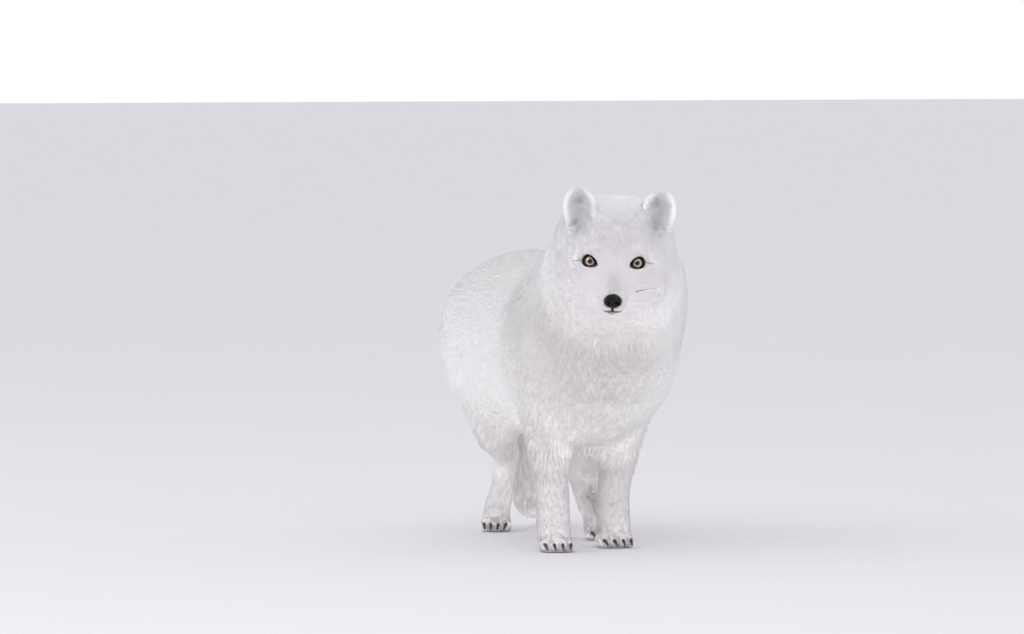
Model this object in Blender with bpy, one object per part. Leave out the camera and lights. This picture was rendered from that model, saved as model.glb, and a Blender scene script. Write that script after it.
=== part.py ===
"""Arctic fox in its white winter coat, life size, standing still with its head turned to its right.

The solids reach out to the tips of the coat. The body is modelled whole: a few lofts and rounded masses
are fused, smoothed and thinned to large facets. Thin cuts then part it where a person would name its parts.
Ears, eyes, nose leather and claws are pieces of their own, each set in a pocket of the part that holds it.
Metres, +Z up. The fox looks towards -Y and its left side is at +X."""

import math

import bmesh
import bpy
from mathutils import Euler, Matrix, Vector

# Driving dimensions
GAP = 0.0003  # clearance between neighbouring pieces
CUT = 0.0004  # thickness of the cuts that part the body
VOXEL = 0.003  # cell in which the masses are fused
FINE_SMOOTHING = 5  # passes over everything
BROAD_SMOOTHING = 34  # further passes away from the paws and the muzzle
BODY_TRIANGLES = 4900
BACK_HEIGHT = 0.352  # to the tips of the coat on the back
TRUNK_HALF_WIDTH = 0.112
BELLY_HEIGHT = 0.128
SHOULDER_Y = -0.120
HIP_Y = 0.130

HEAD_ORIGIN = Vector((-0.024, -0.322, 0.352))  # half way between the eyes
HEAD_YAW = math.radians(-15)
HEAD_PITCH = math.radians(15)
HEAD_ROLL = math.radians(2.3)
EYE_RADIUS = 0.0092
EYE_CENTRE = (0.0276, 0.0018, -0.0002)  # mirrored for the other eye
EAR_LENGTH = 0.0468
EAR_WIDTH = 0.0385
EAR_BASE = (0.0420, 0.0165, 0.0362)
EAR_SHIFT = 0.0045  # both ears stand a little towards the left of the head
EAR_TURNS = (-14, 9, 8)  # degrees: tipped back, leaning out, facing out
NOSE_SIZE = (0.0208, 0.0150, 0.0154)
NOSE_CENTRE = (0.0, -0.0600, -0.0285)

LEG_CUT_Z = 0.116
PAW_CUT_Z = 0.031
TOES_PER_PAW = 4
TOE_SPACING = 0.0098
CLAW_LENGTH = 0.0120
CLAW_RADIUS = 0.0026

# Base colour and roughness of each kind of surface
FINISHES = {
    "coat": ((0.86, 0.86, 0.87), 0.9),
    "leather": ((0.015, 0.014, 0.014), 0.45),
    "cornea": ((0.09, 0.045, 0.015), 0.08),
    "horn": ((0.05, 0.045, 0.04), 0.4),
}

# Each foot: where its toes end, how far it turns about its toes in degrees, and half its width
FEET = {
    "front_right": {"toe": (-0.044, -0.150), "turn": -6, "half_width": 0.0212},
    "front_left": {"toe": (0.045, -0.098), "turn": 2, "half_width": 0.0228},
    "hind_right": {"toe": (-0.029, 0.213), "turn": -20, "half_width": 0.0185},
    "hind_left": {"toe": (0.062, 0.033), "turn": 0, "half_width": 0.0182},
}
PAW_LENGTH = 0.056
PAW_HEIGHT = 0.027


def start_clean():
    for obj in list(bpy.data.objects):
        bpy.data.objects.remove(obj)


def material(name):
    """A material of the kind its name ends in."""
    colour, roughness = next(look for kind, look in FINISHES.items() if name.endswith(kind))
    made = bpy.data.materials.new(name)
    made.use_nodes = True
    shader = made.node_tree.nodes["Principled BSDF"]
    shader.inputs["Base Color"].default_value = (*colour, 1)
    shader.inputs["Roughness"].default_value = roughness
    shader.inputs["Metallic"].default_value = 0
    return made


def face_outwards(mesh_builder):
    """Turns every face outwards. On a thin plate the usual recalculation alone can turn them all inwards."""
    bmesh.ops.recalc_face_normals(mesh_builder, faces=mesh_builder.faces)
    if mesh_builder.calc_volume(signed=True) < 0:
        bmesh.ops.reverse_faces(mesh_builder, faces=mesh_builder.faces)


def new_object(name, mesh_builder, finish=None):
    """An object around a bmesh, with its normals pointing out."""
    face_outwards(mesh_builder)
    mesh = bpy.data.meshes.new(name)
    mesh_builder.to_mesh(mesh)
    mesh_builder.free()
    obj = bpy.data.objects.new(name, mesh)
    bpy.context.collection.objects.link(obj)
    if finish:
        mesh.materials.append(material(f"{name}_{finish}"))
        mesh.shade_smooth()
    return obj


def through(values, t):
    """A smooth curve through a list of vectors, at t counted in spans."""
    i = min(int(t), len(values) - 2)
    u = t - i
    a = values[max(i - 1, 0)]
    b = values[i]
    c = values[i + 1]
    d = values[min(i + 2, len(values) - 1)]
    return 0.5 * (2 * b + (c - a) * u + (2 * a - 5 * b + 4 * c - d) * u * u + (3 * b - a - 3 * c + d) * u**3)


def loft(stations, sides=28, steps=4, place=None):
    """A rounded tube through stations of (x, y, z, half width, half depth), closed by domed ends.
    Half width lies across the fox, half depth at right angles to it and to the tube."""
    points = [Vector(s) for s in stations]
    count = (len(points) - 1) * steps
    path = [through(points, i / steps) for i in range(count + 1)]
    builder = bmesh.new()
    rings = []
    dome = [math.sin(math.radians(angle)) for angle in (25, 50, 72)]
    for i, station in enumerate(path):
        centre = Vector(station[:3])
        ahead = Vector(path[min(i + 1, count)][:3]) - Vector(path[max(i - 1, 0)][:3])
        along = ahead.normalized()
        across = (Vector((1, 0, 0)) - along.x * along).normalized()
        upward = along.cross(across)
        width, depth = station[3], station[4]
        if i == 0:
            # the dome bulges backwards by two thirds of its radius
            scales = [(s, -math.sqrt(1 - s * s) * min(width, depth) * 0.66) for s in dome] + [(1, 0)]
        elif i == count:
            scales = [(1, 0)] + [(s, math.sqrt(1 - s * s) * min(width, depth) * 0.66) for s in reversed(dome)]
        else:
            scales = [(1, 0)]
        for scale, shift in scales:
            ring = []
            for k in range(sides):
                angle = 2 * math.pi * k / sides
                spoke = across * (width * scale * math.cos(angle)) + upward * (depth * scale * math.sin(angle))
                ring.append(builder.verts.new(centre + along * shift + spoke))
            rings.append(ring)
    for low, high in zip(rings, rings[1:]):
        for k in range(sides):
            n = (k + 1) % sides
            builder.faces.new((low[k], low[n], high[n], high[k]))
    builder.faces.new(rings[0])
    builder.faces.new(rings[-1])
    if place:
        builder.transform(place)
    return builder


def ball(centre, radii, turn=(0, 0, 0), place=None, detail=(28, 16)):
    """An ellipsoid. turn is in degrees about X, Y and Z."""
    builder = bmesh.new()
    bmesh.ops.create_uvsphere(builder, u_segments=detail[0], v_segments=detail[1], radius=1)
    spin = Euler([math.radians(angle) for angle in turn]).to_matrix().to_4x4()
    builder.transform(Matrix.Translation(centre) @ spin @ Matrix.Diagonal((*radii, 1)))
    if place:
        builder.transform(place)
    return builder


def head_frame():
    turn = Matrix.Rotation(HEAD_YAW, 4, "Z") @ Matrix.Rotation(HEAD_PITCH, 4, "X")
    return Matrix.Translation(HEAD_ORIGIN) @ turn @ Matrix.Rotation(HEAD_ROLL, 4, "Y")


def trunk_masses():
    back, belly, width = BACK_HEIGHT, BELLY_HEIGHT, TRUNK_HALF_WIDTH
    middle = (back + belly) / 2
    half = (back - belly) / 2
    trunk = [
        (-0.003, 0.194, middle + 0.010, width * 0.89, half * 0.87),
        (-0.003, 0.165, middle + 0.004, width * 0.99, half * 0.97),
        (-0.002, HIP_Y, middle + 0.001, width * 1.00, half * 1.00),
        (0.000, 0.040, middle + 0.004, width * 0.97, half * 0.99),
        (0.000, -0.060, middle + 0.001, width * 0.94, half * 1.01),
        (0.000, SHOULDER_Y, middle + 0.002, width * 0.93, half * 1.04),
        (0.002, -0.165, middle + 0.010, width * 0.89, half * 0.98),
        (0.002, -0.200, middle + 0.018, width * 0.78, half * 0.80),
    ]
    chest = ball((0.000, -0.165, 0.215), (0.082, 0.062, 0.082), (18, 0, 0))
    # the long coat of the rump stands out high on either side
    rump = [ball((side * 0.045 - 0.003, HIP_Y + 0.012, 0.262), (0.065, 0.088, 0.068)) for side in (-1, 1)]
    return [loft(trunk, sides=36), chest, *rump]


def neck_masses():
    neck = [
        (0.004, -0.110, 0.262, 0.100, 0.096),
        (0.008, -0.165, 0.293, 0.097, 0.095),
        (0.004, -0.215, 0.325, 0.089, 0.088),
        (-0.006, -0.250, 0.350, 0.076, 0.074),
    ]
    ruff = ball((0.004, -0.215, 0.275), (0.088, 0.062, 0.080), (-25, 0, -6))
    return [loft(neck, sides=32), ruff]


def head_masses(place):
    """Skull, cheeks and muzzle in the head's own frame: eyes at zero, nose towards -Y."""
    muzzle = [
        (0.000, 0.020, -0.0120, 0.0460, 0.0370),
        (0.000, -0.006, -0.0190, 0.0310, 0.0225),
        (0.000, -0.026, -0.0275, 0.0220, 0.0200),
        (0.000, -0.044, -0.0325, 0.0180, 0.0170),
        (0.000, -0.054, -0.0340, 0.0155, 0.0150),
    ]
    masses = [
        loft(muzzle, sides=28, place=place),
        ball((0, 0.050, -0.010), (0.072, 0.056, 0.048), place=place),
        ball((0, 0.050, 0.010), (0.050, 0.050, 0.050), place=place),
        ball((0, -0.046, -0.0430), (0.0130, 0.0150, 0.0085), place=place),
        ball((0, -0.015, -0.044), (0.024, 0.030, 0.014), (14, 0, 0), place=place),
    ]
    masses.append(ball((0, 0.059, 0.021), (0.044, 0.044, 0.0455), place=place))
    for side in (-1, 1):
        masses += [
            ball((side * 0.025, 0.058, 0.022), (0.041, 0.044, 0.045), place=place),
            ball((side * 0.041 + 0.001, 0.062, 0.008), (0.035, 0.040, 0.046), (0, side * 6, 0), place=place),
            ball((side * 0.040, 0.050, -0.024), (0.035, 0.042, 0.042), (0, side * 10, 0), place=place),
            ball((side * 0.034, 0.046, -0.046), (0.036, 0.038, 0.032), place=place),
            ball((side * 0.030, 0.026, -0.041), (0.030, 0.034, 0.026), place=place),
            ball((side * 0.022, 0.014, -0.022), (0.023, 0.023, 0.020), place=place),
            ball((side * 0.0085, -0.048, -0.0350), (0.0092, 0.0130, 0.0080), place=place),
            ball((side * 0.0290, 0.009, 0.0125), (0.015, 0.0110, 0.0080), (0, side * 14, 0), place=place),
        ]
    return masses


def front_leg_masses(side, foot):
    toe_x, toe_y = foot["toe"]
    leg_x, leg_y = toe_x + 0.001, toe_y + PAW_LENGTH * 0.60
    shoulder = Vector((side * 0.050, SHOULDER_Y + 0.004, 0.215))
    lean = leg_y - shoulder.y
    column = [
        (*shoulder, 0.043, 0.055),
        (shoulder.x * 0.98, shoulder.y + lean * 0.35, 0.160, 0.034, 0.042),
        ((shoulder.x + leg_x) / 2, shoulder.y + lean * 0.65, 0.112, 0.0255, 0.0300),
        (leg_x, leg_y - 0.001, 0.070, 0.0228, 0.0235),
        (leg_x, leg_y - 0.003, 0.038, 0.0202, 0.0210),
        (leg_x, leg_y - 0.006, 0.016, 0.0195, 0.0205),
    ]
    return [loft(column, sides=20), *paw_masses(foot)]


def hind_leg_masses(side, foot, knee, hock):
    heel = foot_place(foot) @ Vector((0, PAW_LENGTH * 0.62, 0.016))
    knee, hock = Vector(knee), Vector(hock)
    hip = Vector((side * 0.052, HIP_Y + 0.012, 0.230))
    thigh = [
        (*hip, 0.048, 0.070),
        (*(hip.lerp(knee, 0.5) + Vector((0, 0.008, 0))), 0.045, 0.062),
        (*knee, 0.029, 0.044),
        (*(knee.lerp(hock, 0.5) + Vector((0, 0, 0.004))), 0.0240, 0.0310),
        (*hock, 0.0185, 0.0210),
    ]
    shank = [
        (*(hock + Vector((0, -0.004, 0.010))), 0.0180, 0.0195),
        (*hock, 0.0175, 0.0190),
        (*hock.lerp(heel, 0.5), 0.0160, 0.0168),
        (*(heel + Vector((0, 0, 0.012))), 0.0160, 0.0172),
        (*heel, 0.0165, 0.0180),
    ]
    return [loft(thigh, sides=24), loft(shank, sides=20), *paw_masses(foot)]


def foot_place(foot):
    """The foot's own frame: its toes end at zero and it points towards -Y."""
    return Matrix.Translation((*foot["toe"], 0)) @ Matrix.Rotation(math.radians(foot["turn"]), 4, "Z")


def toe_places(foot):
    """(x, y) of each toe's centre in the foot's own frame. The two middle toes reach further."""
    spacing = TOE_SPACING * foot["half_width"] / 0.0205
    for k in range(TOES_PER_PAW):
        off = k - (TOES_PER_PAW - 1) / 2
        yield off * spacing, 0.0115 + 0.0042 * (abs(off) > 1), off


def paw_masses(foot):
    place = foot_place(foot)
    wide = foot["half_width"]
    masses = [
        ball((0, PAW_LENGTH * 0.50, 0.0090), (wide * 0.93, PAW_LENGTH * 0.44, 0.0165), place=place),
        ball((0, PAW_LENGTH * 0.42, 0.0155), (wide * 0.84, PAW_LENGTH * 0.30, 0.0165), (18, 0, 0), place=place),
    ]
    for x, y, off in toe_places(foot):
        masses.append(ball((x, y, 0.0072), (0.0064, 0.0115, 0.0098), (0, 0, -9 * off), place=place))
    return masses


def tail_masses():
    tail = [
        (0.000, 0.196, 0.284, 0.048, 0.047),
        (0.006, 0.240, 0.267, 0.048, 0.046),
        (0.018, 0.274, 0.222, 0.047, 0.044),
        (0.031, 0.292, 0.165, 0.045, 0.043),
        (0.045, 0.303, 0.100, 0.043, 0.042),
        (0.049, 0.304, 0.052, 0.038, 0.036),
        (0.049, 0.301, 0.028, 0.029, 0.027),
    ]
    return [loft(tail, sides=24)]


def join_masses(name, builders):
    """One mesh holding all the masses, still overlapping."""
    whole = bmesh.new()
    for builder in builders:
        face_outwards(builder)
        piece = bpy.data.meshes.new("mass")
        builder.to_mesh(piece)
        builder.free()
        whole.from_mesh(piece)
        bpy.data.meshes.remove(piece)
    return new_object(name, whole)


def bake_modifiers(obj):
    """Replaces the object's mesh with what its modifiers make of it."""
    bpy.context.view_layer.update()
    evaluated = obj.evaluated_get(bpy.context.evaluated_depsgraph_get())
    mesh = bpy.data.meshes.new_from_object(evaluated)
    obj.modifiers.clear()
    obj.data = mesh
    return obj


def weigh(obj, name, weight_at):
    """A vertex group whose weights come from a function of the vertex's place."""
    group = obj.vertex_groups.new(name=name)
    for vertex in obj.data.vertices:
        group.add([vertex.index], min(1.0, max(0.0, weight_at(vertex.co))), "REPLACE")
    return group


def drop_bubbles(obj):
    """Fusing can leave a tiny closed bubble inside the body. Only the outer skin is kept."""
    builder = bmesh.new()
    builder.from_mesh(obj.data)
    outer = {max(builder.verts, key=lambda vertex: vertex.co.z)}
    front = list(outer)
    while front:
        front = [edge.other_vert(vertex) for vertex in front for edge in vertex.link_edges]
        front = [vertex for vertex in set(front) if vertex not in outer]
        outer.update(front)
    bmesh.ops.delete(builder, geom=[vertex for vertex in builder.verts if vertex not in outer], context="VERTS")
    builder.to_mesh(obj.data)
    builder.free()


def fuse(obj, nose_tip):
    """Fuses the masses into one skin, then smooths it: least on the paws and the muzzle."""
    remesh = obj.modifiers.new("fuse", "REMESH")
    remesh.mode = "VOXEL"
    remesh.voxel_size = VOXEL
    bake_modifiers(obj)
    drop_bubbles(obj)
    group = weigh(obj, "broad", lambda at: min((at.z - 0.02) / 0.06, ((at - nose_tip).length - 0.03) / 0.05))
    for passes, limit in ((FINE_SMOOTHING, ""), (BROAD_SMOOTHING, group.name)):
        smooth = obj.modifiers.new("smooth", "SMOOTH")
        smooth.factor = 0.5
        smooth.iterations = passes
        smooth.vertex_group = limit
    return bake_modifiers(obj)


def thin_out(obj, triangles, face_centre):
    """Reduces the mesh to large facets, keeping finer ones on the face and the paws."""
    obj.vertex_groups.clear()
    group = weigh(obj, "coarse", lambda at: 0.3 + min((at - face_centre).length / 0.1 - 0.4, at.z / 0.04))
    thin = obj.modifiers.new("thin", "DECIMATE")
    thin.ratio = triangles / sum(len(face.vertices) - 2 for face in obj.data.polygons)
    thin.vertex_group = group.name
    thin.vertex_group_factor = 0.12
    thin.use_collapse_triangulate = True
    bake_modifiers(obj)
    obj.vertex_groups.clear()
    return obj


def stand_on_floor(obj):
    """Cuts the soles flat at the floor's level."""
    builder = bmesh.new()
    builder.from_mesh(obj.data)
    everything = builder.verts[:] + builder.edges[:] + builder.faces[:]
    bmesh.ops.bisect_plane(builder, geom=everything, plane_co=(0, 0, 0), plane_no=(0, 0, 1), clear_inner=True)
    rim = [edge for edge in builder.edges if edge.is_boundary]
    bmesh.ops.holes_fill(builder, edges=rim, sides=0)
    bmesh.ops.triangulate(builder, faces=[face for face in builder.faces if len(face.verts) > 4])
    face_outwards(builder)
    builder.to_mesh(obj.data)
    builder.free()


def slab(name, centre, normal, size):
    """A thin cutter: a plate of this width and depth, square to normal."""
    builder = bmesh.new()
    bmesh.ops.create_cube(builder, size=1)
    turn = Vector(normal).to_track_quat("Z", "Y").to_matrix().to_4x4()
    builder.transform(Matrix.Translation(centre) @ turn @ Matrix.Diagonal((size[0], size[1], CUT, 1)))
    return as_cutter(new_object(name, builder))


def as_cutter(obj):
    obj.hide_render = True
    obj.display_type = "WIRE"
    return obj


def cut_away(obj, cutter):
    """Removes the cutter's space from the object, and the cutter with it."""
    boolean = obj.modifiers.new("cut", "BOOLEAN")
    boolean.operation = "DIFFERENCE"
    boolean.solver = "EXACT"
    boolean.object = cutter
    bake_modifiers(obj)
    bpy.data.objects.remove(cutter)


def strip(name, profile, half_width, place):
    """A thin cutter that follows a path of (y, z) points and runs across the fox."""
    points = [Vector((0, y, z)) for y, z in profile]
    sides = []
    for i, point in enumerate(points):
        before = (point - points[i - 1]).normalized() if i else (points[1] - point).normalized()
        after = (points[i + 1] - point).normalized() if i + 1 < len(points) else before
        across = Vector((1, 0, 0)).cross((before + after).normalized())
        sides.append(across * (CUT / 2 / max(0.3, across.dot(Vector((1, 0, 0)).cross(before)))))
    outline = [p + s for p, s in zip(points, sides)] + [p - s for p, s in zip(points[::-1], sides[::-1])]
    builder = bmesh.new()
    rings = []
    for x in (-half_width, half_width):
        rings.append([builder.verts.new(place @ (point + Vector((x, 0, 0)))) for point in outline])
    count = len(outline)
    for k in range(count):
        n = (k + 1) % count
        builder.faces.new((rings[0][k], rings[0][n], rings[1][n], rings[1][k]))
    for ring in rings:
        builder.faces.new(ring)
    bmesh.ops.triangulate(builder, faces=[face for face in builder.faces if len(face.verts) > 4])
    return as_cutter(new_object(name, builder))


def part_body(body, head_place):
    """Cuts the body where its named parts meet."""
    cutters = [
        slab("neck_cut", (0.004, -0.160, 0.290), (0, -0.80, 0.60), (0.36, 0.40)),
        slab("head_cut", (-0.012, -0.247, 0.335), (-0.20, -0.86, 0.50), (0.30, 0.30)),
        slab("tail_cut", (0.006, 0.243, 0.2480), (0, 1.0, 0), (0.22, 0.226)),
        slab("front_leg_cut", (0, -0.090, LEG_CUT_Z), (0, 0, 1), (0.20, 0.16)),
        slab("hind_right_leg_cut", (-0.0545, 0.181, LEG_CUT_Z), (0, 0, 1), (0.149, 0.162)),
        slab("hind_left_leg_cut", (0.066, 0.080, LEG_CUT_Z), (0, 0, 1), (0.130, 0.20)),
        strip("mouth_cut", ((-0.090, -0.0425), (-0.024, -0.0400), (-0.012, -0.0950)), 0.045, head_place),
    ]
    for foot in FEET.values():
        middle = foot_place(foot) @ Vector((0, PAW_LENGTH * 0.5, PAW_CUT_Z))
        cutters.append(slab("paw_cut", middle, (0, 0, 1), (0.056, 0.096)))
    for cutter in cutters:
        cut_away(body, cutter)


def body_anchors(head_place):
    """A point near the middle of each part of the body."""
    anchors = {
        "head": head_place @ Vector((0, 0.030, -0.005)),
        "lower_jaw": head_place @ Vector((0, -0.038, -0.048)),
        "neck": Vector((0.000, -0.200, 0.300)),
        "trunk": Vector((0.000, 0.020, 0.240)),
        "tail": Vector((0.030, 0.280, 0.160)),
    }
    for name, foot in FEET.items():
        middle = foot_place(foot) @ Vector((0, PAW_LENGTH * 0.5, 0.015))
        end, side = name.split("_")
        anchors[f"paw_{name}"] = middle
        anchors[f"leg_{name}"] = Vector((middle.x, middle.y, 0.072))
    return anchors


def separate(body, anchors):
    """Splits the body into its loose solids and names each after the anchor nearest to its middle."""
    bpy.ops.object.select_all(action="DESELECT")
    body.select_set(True)
    bpy.context.view_layer.objects.active = body
    bpy.ops.object.mode_set(mode="EDIT")
    bpy.ops.mesh.select_all(action="SELECT")
    bpy.ops.mesh.separate(type="LOOSE")
    bpy.ops.object.mode_set(mode="OBJECT")
    pieces = list(bpy.context.selected_objects)
    named = {}
    for piece in pieces:
        corners = [Vector(corner) for corner in piece.bound_box]
        middle = sum(corners, Vector()) / len(corners)
        name = min(anchors, key=lambda key: (anchors[key] - middle).length)
        if name in named:
            raise RuntimeError(f"two loose solids near {name}: {len(piece.data.vertices)} vertices at {middle}")
        piece.name = name
        piece.data.name = name
        piece.data.materials.clear()
        piece.data.materials.append(material(f"{name}_coat"))
        named[name] = piece
    missing = set(anchors) - set(named)
    if missing:
        raise RuntimeError(f"no loose solid for {sorted(missing)}")
    return named


def grown(obj, name):
    """A copy of the object, larger all round by the clearance."""
    builder = bmesh.new()
    builder.from_mesh(obj.data)
    builder.normal_update()
    shifts = [(vertex, vertex.normal * GAP * min(vertex.calc_shell_factor(), 2.5)) for vertex in builder.verts]
    for vertex, shift in shifts:
        vertex.co += shift
    return as_cutter(new_object(name, builder))


def seat(piece, holder):
    """Cuts a pocket for the piece into the part that holds it."""
    cut_away(holder, grown(piece, "pocket"))


def ear(name, side, head_place):
    """A cupped, round-topped leaf of fur, hollow in front."""
    tip_turn = [math.radians(angle) for angle in EAR_TURNS]
    turn = Euler((tip_turn[0], side * tip_turn[1], -side * tip_turn[2])).to_matrix().to_4x4()
    place = head_place @ Matrix.Translation((side * EAR_BASE[0] + EAR_SHIFT, EAR_BASE[1], EAR_BASE[2])) @ turn
    builder = bmesh.new()
    rings = []
    levels, across = 8, 7
    for i in range(levels):
        up = i / (levels - 1)
        rise = math.sin(up * math.pi / 2) ** 0.9
        arch = max(0.0, rise - 0.5) / 0.5
        half = EAR_WIDTH / 2 * (0.86 + 0.14 * min(1.0, rise / 0.45)) * math.sqrt(max(1 - arch**2, 0.020))
        cup = 0.0125 * (1 - 0.55 * up) * math.sqrt(max(1 - up**3, 0.02))
        wall = 0.0058 * (1 - 0.45 * up) * math.sqrt(max(1 - up**6, 0.12))
        z = EAR_LENGTH * rise
        ring = []
        for k in range(across):
            t = -1 + 2 * k / (across - 1)
            ring.append((half * t, cup * (1 - t * t) * 1.15, z))
        for k in range(across):
            t = 1 - 2 * k / (across - 1)
            edge = 1 - 0.55 * t * t
            ring.append((half * t * 1.02, cup * (1 - t * t) * 1.15 + wall * edge, z))
        rings.append([builder.verts.new(place @ Vector(point)) for point in ring])
    for low, high in zip(rings, rings[1:]):
        for k in range(len(low)):
            n = (k + 1) % len(low)
            builder.faces.new((low[k], low[n], high[n], high[k]))
    for ring in (rings[0], rings[-1]):
        for k in range(across - 1):
            a, b = ring[k], ring[k + 1]
            c, d = ring[2 * across - 2 - k], ring[2 * across - 1 - k]
            builder.faces.new((a, b, c, d))
    bmesh.ops.triangulate(builder, faces=builder.faces[:])
    return new_object(name, builder, "coat")


def nose(head_place):
    """The nose leather: wide above, drawn in below towards the lip."""
    width, depth, height = NOSE_SIZE
    builder = bmesh.new()
    bmesh.ops.create_uvsphere(builder, u_segments=16, v_segments=10, radius=1)
    for vertex in builder.verts:
        x, y, z = vertex.co
        narrow = 1 - 0.22 * max(0.0, -z) ** 1.5
        vertex.co = Vector((x * narrow * width / 2, y * depth / 2 * (1 - 0.12 * max(0.0, z)), z * height / 2))
        vertex.co.y += 0.0012 * z
    builder.transform(head_place @ Matrix.Translation(NOSE_CENTRE))
    return new_object("nose", builder, "leather")


def eye(name, side, head_place):
    centre = Vector((side * EYE_CENTRE[0], EYE_CENTRE[1], EYE_CENTRE[2]))
    return new_object(name, ball(centre, (EYE_RADIUS,) * 3, place=head_place, detail=(14, 9)), "cornea")


def claw(name, foot, toe):
    """A short hooked claw that comes out of the front of its toe and ends just above the floor."""
    x, y, off = toe
    place = foot_place(foot) @ Matrix.Translation((x, y - 0.0115, 0.0072)) @ Matrix.Rotation(math.radians(-7 * off), 4, "Z")
    builder = bmesh.new()
    rings = []
    steps, sides = 3, 6
    for i in range(steps + 1):
        t = i / steps
        centre = Vector((0, 0.0042 - CLAW_LENGTH * t, 0.0022 + 0.0010 * t - 0.0072 * t * t))
        slope = math.atan2(0.0010 - 0.0144 * t, CLAW_LENGTH)
        radius = CLAW_RADIUS * (1 - 0.78 * t**1.4)
        ring = []
        for k in range(sides):
            angle = 2 * math.pi * k / sides
            side, up = radius * 0.78 * math.cos(angle), radius * math.sin(angle)
            ring.append(builder.verts.new(place @ (centre + Vector((side, up * math.sin(slope), up * math.cos(slope))))))
        rings.append(ring)
    for low, high in zip(rings, rings[1:]):
        for k in range(sides):
            n = (k + 1) % sides
            builder.faces.new((low[k], low[n], high[n], high[k]))
    builder.faces.new(rings[0])
    builder.faces.new(rings[-1])
    return new_object(name, builder, "horn")


def centre_on_origin(objects):
    """Moves everything so that the box round the fox stands on the origin."""
    points = [vertex.co for obj in objects for vertex in obj.data.vertices]
    low = Vector(min(point[i] for point in points) for i in range(3))
    high = Vector(max(point[i] for point in points) for i in range(3))
    shift = Vector((-(low.x + high.x) / 2, -(low.y + high.y) / 2, 0))
    for obj in objects:
        obj.data.transform(Matrix.Translation(shift))


def main():
    start_clean()
    head_place = head_frame()
    nose_tip = head_place @ Vector((0, -0.060, -0.030))
    masses = trunk_masses() + neck_masses() + head_masses(head_place) + tail_masses()
    masses += front_leg_masses(-1, FEET["front_right"]) + front_leg_masses(1, FEET["front_left"])
    masses += hind_leg_masses(-1, FEET["hind_right"], (-0.045, 0.165, 0.140), (-0.003, 0.250, 0.088))
    masses += hind_leg_masses(1, FEET["hind_left"], (0.062, 0.036, 0.132), (0.055, 0.125, 0.078))
    body = fuse(join_masses("body", masses), nose_tip)
    thin_out(body, BODY_TRIANGLES, head_place @ Vector((0, 0, -0.02)))
    stand_on_floor(body)
    part_body(body, head_place)
    parts = separate(body, body_anchors(head_place))

    for side, name in ((-1, "right"), (1, "left")):
        parts[f"ear_{name}"] = ear(f"ear_{name}", side, head_place)
        parts[f"eye_{name}"] = eye(f"eye_{name}", side, head_place)
        seat(parts[f"ear_{name}"], parts["head"])
        seat(parts[f"eye_{name}"], parts["head"])
    parts["nose"] = nose(head_place)
    seat(parts["nose"], parts["head"])
    for name, foot in FEET.items():
        for number, toe in enumerate(toe_places(foot), 1):
            made = claw(f"claw_{name}_{number}", foot, toe)
            parts[made.name] = made
            seat(made, parts[f"paw_{name}"])
    centre_on_origin(parts.values())


main()
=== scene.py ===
"""Arctic fox in its white winter coat, life size, standing with its head turned to its right.

One skin replaces the flesh of the CAD frame. Tufts of fur grow from it and end where the frame's solids end.
Eyes, nose, claws and whiskers are pieces of their own, and the lips are shaped in the skin. Metres, +Z up;
the fox looks towards -Y.
"""

import math

import bmesh
import bpy
import numpy as np
from mathutils import Matrix, Vector
from mathutils.bvhtree import BVHTree
from mathutils.kdtree import KDTree


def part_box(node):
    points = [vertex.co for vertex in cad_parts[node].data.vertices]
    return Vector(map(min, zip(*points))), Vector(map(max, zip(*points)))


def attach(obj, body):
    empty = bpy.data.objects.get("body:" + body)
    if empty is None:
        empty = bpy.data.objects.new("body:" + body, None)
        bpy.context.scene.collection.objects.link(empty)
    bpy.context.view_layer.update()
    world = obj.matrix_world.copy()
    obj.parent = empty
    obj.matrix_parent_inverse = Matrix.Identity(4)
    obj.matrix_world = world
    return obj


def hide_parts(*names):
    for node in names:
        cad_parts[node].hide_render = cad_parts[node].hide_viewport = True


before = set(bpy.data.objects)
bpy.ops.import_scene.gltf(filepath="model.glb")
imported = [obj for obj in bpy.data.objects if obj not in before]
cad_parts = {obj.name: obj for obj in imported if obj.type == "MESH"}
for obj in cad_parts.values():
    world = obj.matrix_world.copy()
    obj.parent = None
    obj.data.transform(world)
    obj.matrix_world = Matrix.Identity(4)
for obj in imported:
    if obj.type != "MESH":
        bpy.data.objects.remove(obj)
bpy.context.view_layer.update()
bpy.ops.object.select_all(action="DESELECT")


# Camera -----------------------------------------------------------------------------------------------
# A long lens from well in front of the fox and a little to its right, 70 cm above the ground. It looks
# slightly down.

CAMERA_AIM = Vector((-0.0914, -0.1028, 0.2804))
CAMERA_DISTANCE = 9.75
CAMERA_AZIMUTH = math.radians(-14.67)
CAMERA_DIP = math.radians(2.5)

camera_turn = Matrix.Rotation(CAMERA_AZIMUTH, 4, "Z") @ Matrix.Rotation(math.pi / 2 - CAMERA_DIP, 4, "X")
to_camera = (camera_turn @ Vector((0, 0, 1))).normalized()
bpy.ops.object.camera_add(location=CAMERA_AIM + to_camera * CAMERA_DISTANCE, rotation=camera_turn.to_euler())
camera = bpy.context.object
camera.data.sensor_width = 36
camera.data.lens = 287.9
camera.data.clip_end = 60
bpy.context.scene.camera = camera


# Floor and light --------------------------------------------------------------------------------------
# A pale sweep under an overcast studio sky, with broad, soft lights in front of the fox and on its
# right. A small light shows only as the sparkle of the eyes and the nose. A panel just over the floor
# stands for the light that a white ground throws up, and the camera doesn't see it.


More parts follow.
